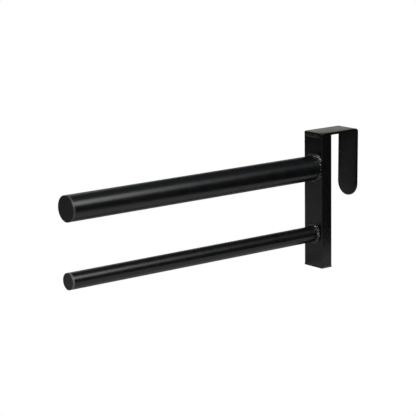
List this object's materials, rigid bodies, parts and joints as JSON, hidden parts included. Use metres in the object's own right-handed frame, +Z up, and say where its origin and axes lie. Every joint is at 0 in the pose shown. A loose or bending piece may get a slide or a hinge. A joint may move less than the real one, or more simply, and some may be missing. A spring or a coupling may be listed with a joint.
{
  "type": "towel rack",
  "caption": "Over-door towel rack: a bent flat-bar hook welded to a short tube post, with a thick and a thin round bar standing straight out and capped at their ends.",
  "frame": {"origin": "midway across the width, where the underside of the hook strap meets the back face of the post; the panel's upper front edge sits here", "axes": "+Z up; the bars stand out along -Y, away from the panel; the hook reaches back over the panel along +Y; X runs across the width"},
  "size_m": [0.0306, 0.3875, 0.154],
  "materials": {
    "powder_coat": "satin black powder coat over steel",
    "cap_plastic": "moulded black polyethylene, fine matt grain",
    "coated_weld": "glossier black powder coat over weld ripples"
  },
  "bodies": {
    "root": {"hook_strap": "powder_coat", "post_tube": "powder_coat", "upper_bar": "powder_coat", "lower_bar": "powder_coat", "upper_bar_cap": "cap_plastic", "lower_bar_cap": "cap_plastic", "post_plug": "cap_plastic", "upper_bar_weld": "coated_weld", "lower_bar_weld": "coated_weld", "hook_weld": "coated_weld"}
  },
  "joints": []
}
